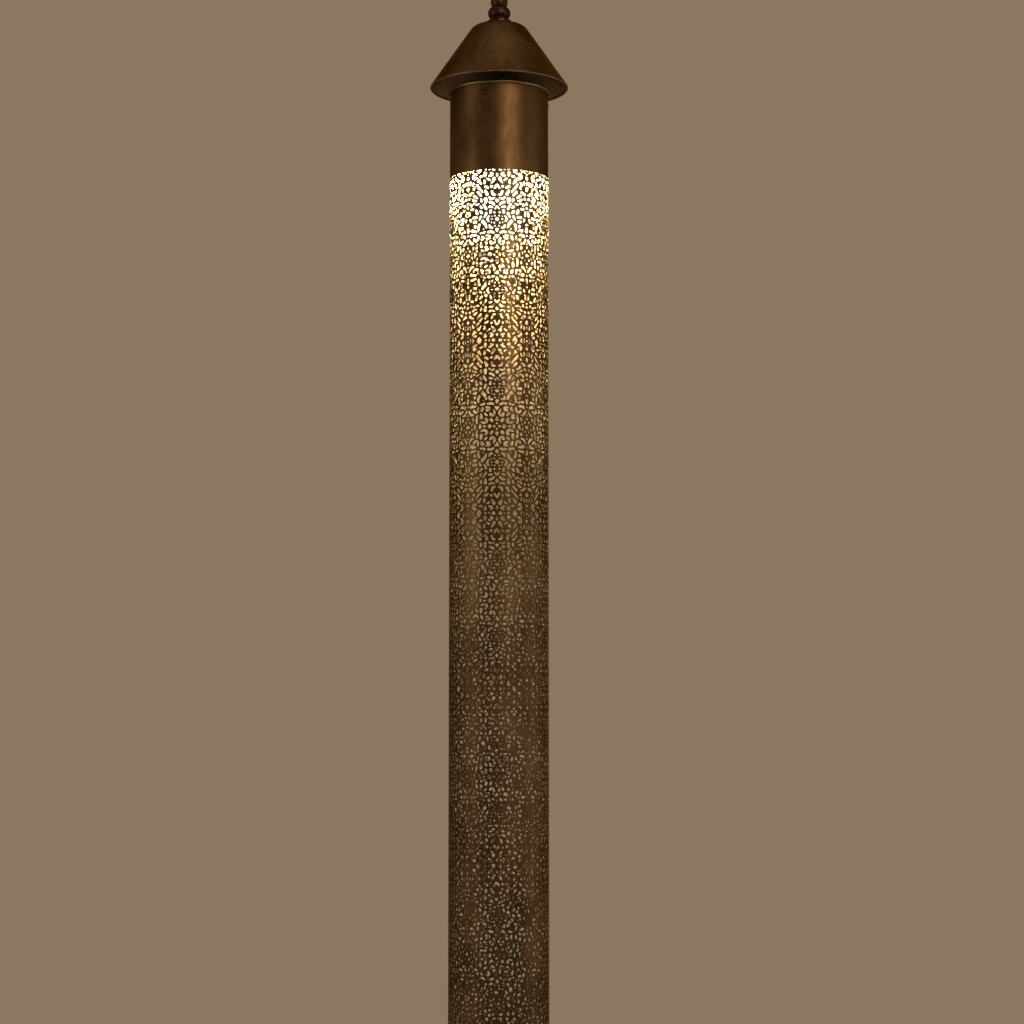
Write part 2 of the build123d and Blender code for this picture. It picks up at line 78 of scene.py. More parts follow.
# The surroundings: a floor disc below the lamp, soft light from all sides, and a tan wall that
# shows to the camera and in the metal and glass.
FLOOR_RADIUS = 1.15
FLOOR_LEVEL = -1.62
FLOOR_SIDES = 96
SOFT_LIGHT = (1.0, 0.95, 0.88, 1.0)
SOFT_LIGHT_STRENGTH = 0.30
WALL_COLOUR = (0.262, 0.188, 0.118, 1.0)

# The pierced tube, in mm and degrees.
TUBE_WALL = 1.0
PLAIN_TOP = 91.2
PATTERN_AXIS = -2.0
REPEATS_ROUND = 5
REPEATS_ALONG = 5
CELL_HEIGHT = 86.0
WEB = 1.45  # the metal left between two openings
SMALLEST_OPENING = 1.3  # square mm
GRID_STEP = 0.35  # of the grid that the openings are traced on
CONTOUR_STEP = 0.75  # between the points of an opening's edge
BORDER_STEP = 2.6  # between the points of a cell's border
TOUCHING = 0.3  # a stroke this near a mirror line is one with its image
ON_LINE = 1e-6
WELD_STEP = 1e-3
SHARP_CORNER = 0.75  # the cosine below which a cut edge's corner stays sharp

# Openings of one quarter of a repeat, given in mm: u is the distance round the tube,
# either way, from the pattern's upright centre line, and v is the distance, up or down, from
# the line that it mirrors on. Each one is a stroke through a few points, with its half-width
# at its first and its last point.
OPENINGS = [
    # the first rows, round the small star on the mirror line
    ([(2.7, 0)], 1.5, 1.5),
    ([(7.2, 0)], 2.1, 2.1),
    ([(11.6, 0), (13.6, 0)], 1.0, 1.0),
    ([(17.2, 0), (17.2, 1.0)], 1.6, 1.5),
    ([(23.6, -2.2), (22.4, 0), (23.6, 2.2)], 1.2, 1.2),
    ([(26.6, 0.9), (26.0, 3.0)], 1.0, 1.3),
    ([(28.9, 4.0), (29.6, 6.4)], 1.1, 1.0),
    ([(31.4, 0)], 1.3, 1.3),
    ([(0, 3.2)], 1.5, 1.5),
    ([(0, 6.3), (0, 9.4)], 2.0, 0.6),
    ([(4.9, 5.4), (6.1, 7.0)], 1.5, 1.5),
    ([(11.2, 7.9), (9.9, 5.8), (11.0, 3.9), (13.2, 3.5), (15.9, 4.4)], 1.4, 1.2),
    ([(16.0, 8.6), (16.3, 11.8)], 1.8, 1.3),
    ([(20.6, 3.6), (21.2, 6.6), (20.3, 11.0)], 1.1, 1.2),
    ([(24.9, 5.8), (25.0, 8.0)], 0.9, 1.5),
    ([(31.4, 7.6)], 1.8, 1.8),
    ([(31.4, 12.0)], 1.4, 1.4),
    # leaves and hooks above the small lattice
    ([(3.2, 16.8), (2.2, 13.2), (3.6, 10.9), (5.6, 10.8), (6.5, 12.7)], 1.1, 1.4),
    ([(10.3, 10.8), (12.1, 13.3)], 1.2, 1.3),
    ([(25.2, 11.7), (27.4, 12.0), (29.2, 14.1), (30.0, 16.4)], 1.2, 1.4),
    ([(0, 16.4), (1.5, 19.0)], 1.0, 1.5),
    ([(10.9, 15.6), (8.2, 15.9), (7.6, 18.3), (10.4, 19.2)], 1.2, 1.4),
    ([(15.9, 15.4), (14.5, 17.7)], 1.3, 1.9),
    ([(19.4, 18.6), (19.2, 16.0), (21.0, 14.0), (23.2, 14.5), (24.2, 16.4)], 1.1, 1.4),
    ([(22.2, 20.5), (25.4, 20.2), (28.0, 19.4)], 1.3, 1.9),
    ([(31.4, 20.0)], 1.6, 1.6),
    ([(3.2, 21.6), (5.8, 23.1), (9.3, 22.3)], 1.2, 1.4),
    ([(12.2, 23.7), (13.4, 21.9), (16.8, 21.8)], 1.3, 1.1),
    ([(13.6, 25.6)], 1.3, 1.3),
    ([(19.0, 24.0), (19.4, 27.2), (18.4, 30.2)], 1.0, 1.6),
    ([(21.6, 23.5), (24.0, 24.6), (27.0, 24.9)], 1.2, 1.4),
    ([(31.4, 23.6), (31.4, 27.4)], 1.2, 1.5),
    ([(0, 22.9), (0, 24.9)], 0.7, 2.0),
    # the small lattice on the centre line
    ([(4.8, 26.9), (7.2, 27.3), (7.5, 29.6)], 1.2, 1.3),
    ([(2.1, 28.8)], 1.2, 1.2),
    ([(10.8, 27.3), (12.0, 30.8), (15.0, 33.9)], 1.2, 1.9),
    ([(22.8, 27.2), (22.9, 29.2)], 0.8, 1.7),
    ([(31.4, 31.2)], 1.5, 1.5),
    ([(22.3, 33.4), (24.2, 33.6)], 1.8, 1.6),
    ([(27.8, 34.5), (28.4, 36.2)], 1.0, 1.3),
    ([(2.9, 31.7)], 1.3, 1.3),
    ([(5.7, 31.2), (5.5, 33.2)], 0.9, 0.9),
    ([(8.2, 33.3), (10.4, 36.0), (8.0, 38.8)], 1.0, 1.2),
    ([(0, 35.6)], 2.1, 2.1),
    ([(4.6, 35.6), (6.2, 35.5)], 0.9, 0.8),
    ([(18.2, 34.8), (16.6, 38.4)], 0.9, 1.6),
    ([(21.2, 38.1), (24.8, 37.9)], 1.5, 1.6),
    ([(2.3, 38.9)], 1.2, 1.2),
    ([(5.4, 38.3)], 1.1, 1.1),
    ([(12.9, 37.4), (11.0, 41.4)], 1.0, 1.6),
    ([(29.6, 40.2), (30.0, 44.6)], 1.3, 1.4),
    ([(2.6, 42.2)], 1.3, 1.3),
    ([(6.9, 41.6), (6.4, 44.3)], 1.2, 1.5),
    ([(15.6, 42.0), (17.0, 44.3)], 1.4, 1.5),
    ([(20.5, 41.4), (21.9, 45.0)], 1.5, 1.4),
    ([(25.4, 46.6), (27.8, 46.4)], 1.5, 1.4),
    ([(0, 48.6), (2.2, 45.9)], 0.9, 0.9),
    ([(4.4, 47.4), (7.4, 48.0)], 1.0, 1.5),
    ([(11.0, 45.9), (13.9, 50.8)], 1.3, 1.1),
    ([(15.9, 46.9), (17.2, 49.3)], 1.4, 1.2),
    # the stems that open into the large medallion
    ([(2.9, 50.1), (4.4, 52.0), (7.2, 52.8)], 1.2, 1.3),
    ([(17.8, 52.1), (19.4, 50.8), (21.8, 51.1)], 1.1, 1.1),
    ([(23.9, 52.6)], 1.1, 1.1),
    ([(27.1, 49.6), (27.1, 51.2)], 1.0, 1.5),
    ([(31.4, 48.0)], 1.4, 1.4),
    ([(31.4, 52.2)], 1.7, 1.7),
    ([(0, 52.7), (0, 54.3)], 0.8, 2.1),
    ([(11.6, 52.4), (11.7, 56.0)], 1.2, 1.9),
    ([(16.3, 53.4), (16.3, 56.0)], 1.4, 1.2),
    ([(21.4, 54.6), (24.4, 55.0), (25.7, 56.4)], 1.1, 1.3),
    ([(20.6, 57.3), (23.8, 59.6)], 1.2, 1.5),
    ([(29.0, 57.4)], 1.7, 1.7),
    ([(2.0, 57.5), (4.2, 56.1), (6.8, 56.3), (8.0, 58.2)], 1.0, 1.1),
    ([(1.9, 59.8), (4.2, 60.4), (5.2, 63.6)], 1.2, 1.2),
    ([(9.8, 60.4), (12.0, 64.6)], 1.7, 1.1),
    ([(16.4, 59.6), (19.5, 63.3)], 1.1, 1.6),
    ([(29.0, 61.2), (25.2, 63.5)], 1.7, 1.2),
    ([(14.9, 63.2), (18.6, 67.6), (21.2, 70.6)], 1.0, 1.5),
    ([(0, 70.3), (2.6, 66.8)], 1.1, 1.1),
    ([(5.6, 68.5)], 1.6, 1.6),
    ([(9.0, 67.3), (12.0, 68.8)], 1.2, 1.4),
    ([(24.7, 66.8), (23.0, 69.0)], 1.2, 1.2),
    ([(31.4, 65.4), (31.4, 68.0)], 0.9, 1.9),
    ([(25.8, 70.0), (25.0, 72.6)], 1.0, 1.4),
    ([(28.5, 71.4), (28.4, 74.0)], 1.2, 1.2),
    ([(31.4, 71.4), (31.4, 74.0)], 1.2, 1.2),
    ([(12.9, 71.4), (12.4, 75.0)], 1.1, 1.5),
    ([(16.4, 71.5), (19.2, 75.2)], 0.8, 1.8),
    ([(5.4, 72.0), (2.8, 76.6)], 0.8, 1.9),
    ([(6.9, 74.5), (8.8, 76.2), (10.8, 76.6)], 0.9, 1.2),
    ([(21.4, 77.5), (23.9, 76.9), (25.1, 79.2), (23.8, 81.7), (21.9, 81.6)], 1.3, 1.4),
    ([(31.4, 78.4)], 1.8, 1.8),
    ([(0, 78.6), (0, 81.2)], 1.1, 1.1),
    ([(7.9, 79.3), (5.4, 79.4), (4.3, 81.0), (6.2, 82.3)], 1.1, 1.1),
    ([(11.9, 78.9), (11.9, 82.2)], 1.1, 1.8),
    ([(14.7, 79.3), (17.4, 78.5)], 1.1, 1.2),
    ([(31.4, 82.4)], 1.3, 1.3),
    ([(18.3, 82.0), (18.3, 86.0)], 0.4, 2.6),
    ([(11.4, 86.0)], 1.4, 1.4),
    ([(7.6, 86.0)], 1.2, 1.2),
    ([(3.4, 86.0)], 1.9, 1.9),
    ([(26.2, 83.6), (24.8, 86.0)], 0.9, 1.0),
    ([(28.9, 83.6), (27.5, 86.0)], 0.9, 1.0),
    ([(31.2, 84.6), (30.4, 86.0)], 0.9, 1.0),
]


def box_size(node):
    """The lowest corner, the highest corner and the size of a CAD node."""
    low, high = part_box(node)
    return low, high, high - low


tube_low, tube_high, tube_size = box_size("tube")
TUBE_R = tube_size.x / 2 / MM
CELL_WIDTH = math.pi * TUBE_R / REPEATS_ROUND
PIERCED_TOP = tube_high.z / MM - PLAIN_TOP
PIERCED_LENGTH = 2 * CELL_HEIGHT * REPEATS_ALONG


def new_material(name):
    """A new node material, with its node tree and its surface shader."""
    material = bpy.data.materials.new(name)
    material.use_nodes = True
    tree = material.node_tree
    shader = tree.nodes["Principled BSDF"]
    return material, tree, shader


def noise(tree, scale, detail=3.0, roughness=0.55, stretch=(1, 1, 1)):
    """A noise texture in the object's own coordinates, in metres."""
    coordinates = tree.nodes.new("ShaderNodeTexCoord")
    mapping = tree.nodes.new("ShaderNodeMapping")
    mapping.inputs["Scale"].default_value = stretch
    texture = tree.nodes.new("ShaderNodeTexNoise")
    texture.inputs["Scale"].default_value = scale
    texture.inputs["Detail"].default_value = detail
    texture.inputs["Roughness"].default_value = roughness
    tree.links.new(coordinates.outputs["Object"], mapping.inputs["Vector"])
    tree.links.new(mapping.outputs["Vector"], texture.inputs["Vector"])
    return texture.outputs["Fac"]


def ramp(tree, value, stops):
    """A colour ramp over (place, colour) stops."""
    node = tree.nodes.new("ShaderNodeValToRGB")
    elements = node.color_ramp.elements
    while len(elements) < len(stops):
        elements.new(0.5)
    for element, (place, colour) in zip(elements, stops):
        element.position = place
        element.color = (*colour, 1.0)
    tree.links.new(value, node.inputs["Fac"])
    return node.outputs["Color"]


def spread(tree, value, low, high):
    """The noise value carried to the range from low to high."""
    node = tree.nodes.new("ShaderNodeMapRange")
    node.inputs["From Min"].default_value = 0.3
    node.inputs["From Max"].default_value = 0.7
    node.inputs["To Min"].default_value = low
    node.inputs["To Max"].default_value = high
    tree.links.new(value, node.inputs["Value"])
    return node.outputs["Result"]


def mixed(tree, factor, first, second):
    """A colour mixed by a factor with another one, or with a plain red, green and blue."""
    node = tree.nodes.new("ShaderNodeMix")
    node.data_type = "RGBA"
    tree.links.new(factor, node.inputs["Factor"])
    tree.links.new(first, node.inputs["A"])
    if isinstance(second, tuple):
        node.inputs["B"].default_value = (*second, 1.0)
    else:
        tree.links.new(second, node.inputs["B"])
    return node.outputs["Result"]


def upright(tree, output):
    """The upright part of the object's own coordinates or of its normal."""
    coordinates = tree.nodes.new("ShaderNodeTexCoord")
    split = tree.nodes.new("ShaderNodeSeparateXYZ")
    tree.links.new(coordinates.outputs[output], split.inputs["Vector"])
    return split.outputs["Z"]


def faded(tree, value, nothing_at, full_at, most, kind="LINEAR"):
    """A value carried to a factor: 0 at one end of its range and the most at the other."""
    node = tree.nodes.new("ShaderNodeMapRange")
    node.interpolation_type = kind
    node.inputs["From Min"].default_value = nothing_at
    node.inputs["From Max"].default_value = full_at
    node.inputs["To Max"].default_value = most
    tree.links.new(value, node.inputs["Value"])
    return node.outputs["Result"]


def bumped(tree, shader, value, strength, distance):
    """Adds a bump to the shader, of that distance in metres."""
    node = tree.nodes.new("ShaderNodeBump")
    node.inputs["Strength"].default_value = strength
    node.inputs["Distance"].default_value = distance
    tree.links.new(value, node.inputs["Height"])
    tree.links.new(node.outputs["Normal"], shader.inputs["Normal"])


def aged_brass(
    name, dark, middle, bright, grey, rough=(0.37, 0.47), metallic=1.0, rim_highlight=None, inside=None
):
    """Brass with a hand-rubbed patina: clouds of dark and light, greyer streaks and dark specks.

    The highlight band is (height, width, colour): a painted highlight, bright up to that width
    above a height.
    inside is the lighter, duller colour painted on the faces that look down: painted light from
    below.
    """
    material, tree, shader = new_material(name)
    clouds = noise(tree, scale=24.0, detail=6.0, roughness=0.60, stretch=(1.0, 1.0, 0.55))
    base = ramp(tree, clouds, [(0.37, dark), (0.50, middle), (0.63, bright)])
    streaks = noise(tree, scale=55.0, detail=3.0, roughness=0.5, stretch=(1.0, 1.0, 0.16))
    veil = ramp(tree, streaks, [(0.52, (0, 0, 0)), (0.74, (0.40, 0.40, 0.40))])
    colour = mixed(tree, veil, base, grey)
    specks = noise(tree, scale=420.0, detail=2.0, roughness=0.6)
    spots = ramp(tree, specks, [(0.62, (0, 0, 0)), (0.72, (0.55, 0.55, 0.55))])
    colour = mixed(tree, spots, colour, dark)
    # Painted highlight: a bright band just above the lower edge, where the rim catches the light.
    if rim_highlight:
        height, width, highlight_colour = rim_highlight
        above = upright(tree, "Object")
        near = faded(tree, above, height + width, height + width * 0.4, 0.7, "SMOOTHSTEP")
        colour = mixed(tree, near, colour, highlight_colour)
    # Painted light from below: the faces that look down take a lighter, duller colour.
    if inside:
        under = faded(tree, upright(tree, "Normal"), -0.25, -0.45, 1.0)
        darker = tuple(0.8 * part for part in inside)
        painted_underside_light = ramp(tree, clouds, [(0.35, darker), (0.65, inside)])
        colour = mixed(tree, under, colour, painted_underside_light)
    tree.links.new(colour, shader.inputs["Base Color"])
    shader.inputs["Metallic"].default_value = metallic
    shader.inputs["Specular Tint"].default_value = EDGE_TINT
    fine = noise(tree, scale=160.0, detail=3.0, roughness=0.6, stretch=(1.0, 1.0, 0.3))
    tree.links.new(spread(tree, fine, *rough), shader.inputs["Roughness"])
    waves = noise(tree, scale=90.0, detail=2.0, roughness=0.5, stretch=(1.0, 1.0, 0.35))
    bumped(tree, shader, waves, strength=0.05, distance=0.2 * MM)
    return material


def plain_finish(name, colours, rough, metallic=0.0, scale=200.0, coat=0.0, bump=0.1):
    """A plain finish with slight colour and gloss variation."""
    material, tree, shader = new_material(name)
    grain = noise(tree, scale)
    colour = ramp(tree, grain, [(0.35, colours[0]), (0.65, colours[1])])
    tree.links.new(colour, shader.inputs["Base Color"])
    shader.inputs["Metallic"].default_value = metallic
    shader.inputs["Coat Weight"].default_value = coat
    tree.links.new(spread(tree, grain, *rough), shader.inputs["Roughness"])
    bumped(tree, shader, noise(tree, scale * 2.0), strength=bump, distance=0.1 * MM)
    return material


def lit_glass(name):
    """The lit bulb's glass, which glows evenly in a warm white."""
    material, tree, shader = new_material(name)
    grain = noise(tree, 60.0)
    colour = ramp(tree, grain, [(0.4, (1.0, 0.87, 0.62)), (0.6, (1.0, 0.83, 0.56))])
    tree.links.new(colour, shader.inputs["Emission Color"])
    shader.inputs["Base Color"].default_value = (0.01, 0.01, 0.01, 1.0)
    shader.inputs["Roughness"].default_value = 0.10
    shader.inputs["Emission Strength"].default_value = GLASS_GLOW
    return material


def lit_filament(name):
    """A glowing filament."""
    material, tree, shader = new_material(name)
    grain = noise(tree, 900.0)
    colour = ramp(tree, grain, [(0.4, (1.0, 0.62, 0.25)), (0.6, (1.0, 0.74, 0.38))])
    tree.links.new(colour, shader.inputs["Base Color"])
    tree.links.new(colour, shader.inputs["Emission Color"])
    shader.inputs["Emission Strength"].default_value = FILAMENT_GLOW
    return material


BROWN_DARK = (0.068, 0.038, 0.017)
BROWN = (0.103, 0.059, 0.027)
BROWN_BRIGHT = (0.145, 0.086, 0.040)
BROWN_GREY = (0.100, 0.066, 0.038)
# The lighter colour painted on the cap's downward faces: painted light from below.
BROWN_PAINTED_UNDERSIDE_LIGHT = (0.26, 0.20, 0.14)
# The colour of the highlight painted along the cap's lower edge.
PAINTED_RIM_HIGHLIGHT = (0.26, 0.18, 0.08)
EDGE_TINT = (0.55, 0.46, 0.36, 1.0)

cap_low = box_size("cap")[0]
dark_brass = aged_brass("aged_brass", BROWN_DARK, BROWN, BROWN_BRIGHT, BROWN_GREY)
# The cap carries a painted highlight along its lower edge and painted light from below on the
# faces that look down.
cap_brass = aged_brass(
    "cap_brass",
    BROWN_DARK,
    BROWN,
    BROWN_BRIGHT,
    BROWN_GREY,
    rim_highlight=(cap_low.z + 0.2 * MM, 1.1 * MM, PAINTED_RIM_HIGHLIGHT),
    inside=BROWN_PAINTED_UNDERSIDE_LIGHT,
)
# A lighter, duller copy of the brass for the tube's inner skin and cut edges: painted light from
# the bulb.
bulb_lit_inner_brass = aged_brass(
    "bulb_lit_inner_brass",
    (0.20, 0.150, 0.074),
    (0.26, 0.198, 0.100),
    (0.31, 0.24, 0.126),
    (0.21, 0.164, 0.090),
    rough=(0.55, 0.75),
    metallic=0.25,
)
# A darker copy of the brass for the finial: painted shade.
shaded_finial_brass = aged_brass(
    "shaded_finial_brass",
    (0.042, 0.024, 0.011),
    (0.064, 0.037, 0.017),
    (0.09, 0.054, 0.026),
    (0.062, 0.041, 0.024),
)
# A lighter copy of the brass for the beads: painted light.
lit_rim_brass = aged_brass(
    "lit_rim_brass",
    (0.14, 0.092, 0.036),
    (0.25, 0.172, 0.072),
    (0.36, 0.255, 0.110),
    (0.21, 0.155, 0.076),
    rough=(0.34, 0.48),
)
turned_brass = plain_finish(
    "turned_brass", [(0.46, 0.30, 0.11), (0.60, 0.42, 0.18)], (0.2, 0.36), metallic=1.0
)
plated_steel = plain_finish(
    "plated_steel", [(0.50, 0.50, 0.48), (0.64, 0.64, 0.62)], (0.24, 0.42), metallic=1.0
)
dull_steel = plain_finish(
    "dull_steel", [(0.10, 0.085, 0.07), (0.16, 0.14, 0.12)], (0.45, 0.6), metallic=1.0
)
rubber = plain_finish("rubber", [(0.02, 0.02, 0.02), (0.04, 0.04, 0.04)], (0.55, 0.75), bump=0.3)
porcelain = plain_finish(
    "porcelain", [(0.80, 0.78, 0.72), (0.88, 0.86, 0.81)], (0.08, 0.16), coat=0.5
)
black_glass = plain_finish(
    "black_glass", [(0.015, 0.015, 0.015), (0.03, 0.03, 0.03)], (0.06, 0.14)
)
solder = plain_finish(
    "solder", [(0.52, 0.52, 0.52), (0.68, 0.68, 0.68)], (0.3, 0.5), metallic=1.0
)
nickel = plain_finish(
    "nickel_wire", [(0.44, 0.42, 0.40), (0.58, 0.56, 0.53)], (0.25, 0.4), metallic=1.0
)
bulb_glass = lit_glass("lit_bulb_glass")
glow = lit_filament("lit_filament")

# The finish of each material slot of the record.
SLOT_MATERIALS = {
    "brass_dark": dark_brass,
    "brass_bright": turned_brass,
    "steel": plated_steel,
    "rubber": rubber,
    "porcelain": porcelain,
    "black_glass": black_glass,
    "solder": solder,
    "bulb_glass": bulb_glass,
    "wire": nickel,
    "glow": glow,
}

# Pieces with a finish of their own, in place of their slot's.
OWN_MATERIALS = {
    # The beads take a lighter copy of the brass: painted light.
    "top_bead": lit_rim_brass,
    "bottom_bead": lit_rim_brass,
    "cap": cap_brass,
    # The finial takes a darker copy of the brass: painted shade.
    "finial": shaded_finial_brass,
    "hollow_rod": dull_steel,
    "clamp_screws": dark_brass,
}


def stroke_distance(u, v, points, first, last):
    """Distance of each place from a tapered stroke's edge, negative inside it."""
    if len(points) == 1:
        points = points * 2
    count = len(points) - 1
    nearest = np.full(u.shape, 1e9)
    for index, ((u0, v0), (u1, v1)) in enumerate(zip(points, points[1:])):
        du, dv = u1 - u0, v1 - v0
        length2 = max(du * du + dv * dv, 1e-9)
        t = np.clip(((u - u0) * du + (v - v0) * dv) / length2, 0.0, 1.0)
        width = first + (last - first) * (index + t) / count
        nearest = np.minimum(nearest, np.hypot(u - u0 - t * du, v - v0 - t * dv) - width)
    return nearest


def mirror_images(points):
    """The stroke and its images in the cell's four borders, as those that join it and the rest."""
    joined, apart = [points], []
    for axis, line in ((0, 0.0), (0, CELL_WIDTH), (1, 0.0), (1, CELL_HEIGHT)):
        touches = min(abs(p[axis] - line) for p in points) < TOUCHING
        for image in list(joined) + list(apart):
            flipped = [
                (2 * line - p[0], p[1]) if axis == 0 else (p[0], 2 * line - p[1])
                for p in image
            ]
            (joined if touches and image in joined else apart).append(flipped)
    return joined, apart


def pattern_field():
    """The cell's grid, and how far each place on it is inside an opening.

    An opening ends at its stroke's edge, or where half a web is left to the next opening.
    """
    us = np.linspace(0.0, CELL_WIDTH, round(CELL_WIDTH / GRID_STEP) + 1)
    vs = np.linspace(0.0, CELL_HEIGHT, round(CELL_HEIGHT / GRID_STEP) + 1)
    u, v = np.meshgrid(us, vs)
    first = np.full(u.shape, 1e9)
    second = np.full(u.shape, 1e9)
    for points, start, end in OPENINGS:
        joined, apart = mirror_images(points)
        own = np.min([stroke_distance(u, v, image, start, end) for image in joined], axis=0)
        for distance in [own] + [stroke_distance(u, v, image, start, end) for image in apart]:
            second = np.minimum(second, np.maximum(first, distance))
            first = np.minimum(first, distance)
    field = np.minimum(-first, (second - first - WEB) / 2)
    # Two rounds of smoothing take the corners off.
    for _ in range(2):
        padded = np.pad(field, 1, mode="reflect")
        field = (
            4 * padded[1:-1, 1:-1]
            + 2 * (padded[:-2, 1:-1] + padded[2:, 1:-1] + padded[1:-1, :-2] + padded[1:-1, 2:])
            + padded[:-2, :-2] + padded[:-2, 2:] + padded[2:, :-2] + padded[2:, 2:]
        ) / 16
    return us, vs, field


def contour_lines(us, vs, field):
    """The openings' edges as chains of points, each with whether it closes on itself."""
    edge_points, links = {}, {}

    def crossing(a, b):
        """The place where an opening's edge crosses the grid between two of its points."""
        key = (min(a, b), max(a, b))
        if key not in edge_points:
            fa, fb = field[a], field[b]
            t = fa / (fa - fb)
            edge_points[key] = (
                us[a[1]] + (us[b[1]] - us[a[1]]) * t,
                vs[a[0]] + (vs[b[0]] - vs[a[0]]) * t,
            )
        return key

    inside = field > 0
    count = inside[:-1, :-1].astype(int) + inside[1:, :-1] + inside[:-1, 1:] + inside[1:, 1:]
    for row, column in np.argwhere((count > 0) & (count < 4)).tolist():
        corners = [(row, column), (row, column + 1), (row + 1, column + 1), (row + 1, column)]
        keys = [
            crossing(a, b)
            for a, b in zip(corners, corners[1:] + corners[:1])
            if inside[a] != inside[b]
        ]
        if len(keys) == 4 and not inside[corners[0]]:
            keys = keys[1:] + keys[:1]
        for a, b in zip(keys[::2], keys[1::2]):
            links.setdefault(a, []).append(b)
            links.setdefault(b, []).append(a)
    chains = []
    starts = [k for k, near in links.items() if len(near) == 1] + list(links)
    used = set()
    for start in starts:
        if start in used:
            continue
        chain = [start]
        used.add(start)
        while True:
            onward = [k for k in links[chain[-1]] if k not in used]
            if not onward:
                break
            chain.append(onward[0])
            used.add(onward[0])
        closed = len(chain) > 2 and chain[0] in links[chain[-1]]
        points = np.array([edge_points[k] for k in chain])
        chains.append((points, closed))
    return chains


def enclosed_area(points):
    """The area that a chain of points and its closing line go round."""
    u, v = points[:, 0], points[:, 1]
    return abs(np.dot(u, np.roll(v, -1)) - np.dot(v, np.roll(u, -1))) / 2


def evenly(points, closed, step):
    """The same line with points at an even step along it."""
    if closed:
        points = np.vstack([points, points[:1]])
    lengths = np.hypot(*np.diff(points, axis=0).T)
    along = np.concatenate([[0.0], np.cumsum(lengths)])
    count = max(int(round(along[-1] / step)), 6 if closed else 3)
    places = np.linspace(0.0, along[-1], count + 1)
    even = np.column_stack([np.interp(places, along, points[:, k]) for k in (0, 1)])
    return even[:-1] if closed else even


def snap(point):
    """The point, set exactly on a border of the cell that it lies at."""
    snapped = []
    for value, high in zip(point, (CELL_WIDTH, CELL_HEIGHT)):
        if abs(value) < ON_LINE:
            value = 0.0
        if abs(value - high) < ON_LINE:
            value = high
        snapped.append(float(value))
    return tuple(snapped)


def add_borders(verts, edges):
    """Adds the cell's corners and borders, through the ends of the openings that meet them."""
    corners = [(0.0, 0.0), (CELL_WIDTH, 0.0), (CELL_WIDTH, CELL_HEIGHT), (0.0, CELL_HEIGHT)]
    ends = [
        index
        for index, (u, v) in enumerate(verts)
        if u in (0.0, CELL_WIDTH) or v in (0.0, CELL_HEIGHT)
    ]
    corner_index = list(range(len(verts), len(verts) + 4))
    verts.extend(corners)
    for side in range(4):
        a, b = corners[side], corners[(side + 1) % 4]
        axis = 0 if a[1] == b[1] else 1
        fixed = a[1 - axis]
        on_side = [k for k in ends if verts[k][1 - axis] == fixed]
        on_side += [corner_index[side], corner_index[(side + 1) % 4]]
        marks = sorted((abs(verts[k][axis] - a[axis]), k) for k in on_side)
        line = []
        for (d0, k0), (d1, _) in zip(marks, marks[1:]):
            line.append(k0)
            extra = int((d1 - d0) / BORDER_STEP)
            for step in range(1, extra + 1):
                share = (d0 + (d1 - d0) * step / (extra + 1)) / abs(b[axis] - a[axis])
                line.append(len(verts))
                verts.append((a[0] + (b[0] - a[0]) * share, a[1] + (b[1] - a[1]) * share))
        line.append(marks[-1][1])
        edges.extend(zip(line, line[1:]))


def field_at(field, places):
    """The field's value at places between the points of its grid."""
    rows, columns = field.shape
    row = np.clip(places[:, 1] / CELL_HEIGHT * (rows - 1), 0, rows - 1.001)
    column = np.clip(places[:, 0] / CELL_WIDTH * (columns - 1), 0, columns - 1.001)
    r, c = row.astype(int), column.astype(int)
    fr, fc = row - r, column - c
    return (
        field[r, c] * (1 - fr) * (1 - fc)
        + field[r + 1, c] * fr * (1 - fc)
        + field[r, c + 1] * (1 - fr) * fc
        + field[r + 1, c + 1] * fr * fc
    )


def cell_triangles():
    """The metal of one quarter cell, flat: its points and triangles."""
    us, vs, field = pattern_field()
    verts, edges = [], []
    for points, closed in contour_lines(us, vs, field):
        if enclosed_area(points) <= SMALLEST_OPENING / (1 if closed else 2):
            continue
        points = evenly(points, closed, CONTOUR_STEP)
        base, count = len(verts), len(points)
        verts.extend(snap(p) for p in points)
        sides = count if closed else count - 1
        edges.extend((base + k, base + (k + 1) % count) for k in range(sides))
    add_borders(verts, edges)
    result = delaunay_2d_cdt([Vector(p) for p in verts], edges, [], 0, 1e-5)
    points = np.array([tuple(p) for p in result[0]])
    triangles = np.array(result[2])
    middles = points[triangles].mean(axis=1)
    return points, triangles[field_at(field, middles) <= 0]


def whole_pattern():
    """The quarter cell, mirrored and repeated round and along the tube, still flat."""
    points, triangles = cell_triangles()
    a, b, c = (points[triangles[:, k]] for k in range(3))
    turn = (b[:, 0] - a[:, 0]) * (c[:, 1] - a[:, 1]) - (b[:, 1] - a[:, 1]) * (c[:, 0] - a[:, 0])
    triangles = np.where(turn[:, None] > 0, triangles, triangles[:, ::-1])
    all_points, all_triangles = [], []
    for column in range(2 * REPEATS_ROUND):
        for row in range(2 * REPEATS_ALONG):
            u = points[:, 0] if column % 2 == 0 else CELL_WIDTH - points[:, 0]
            v = CELL_HEIGHT - points[:, 1] if row % 2 == 0 else points[:, 1]
            flipped = (column % 2 == 1) != (row % 2 == 0)
            base = sum(len(p) for p in all_points)
            all_points.append(np.column_stack([u + column * CELL_WIDTH, v + row * CELL_HEIGHT]))
            all_triangles.append(base + (triangles[:, ::-1] if flipped else triangles))
    return np.vstack(all_points), np.vstack(all_triangles)


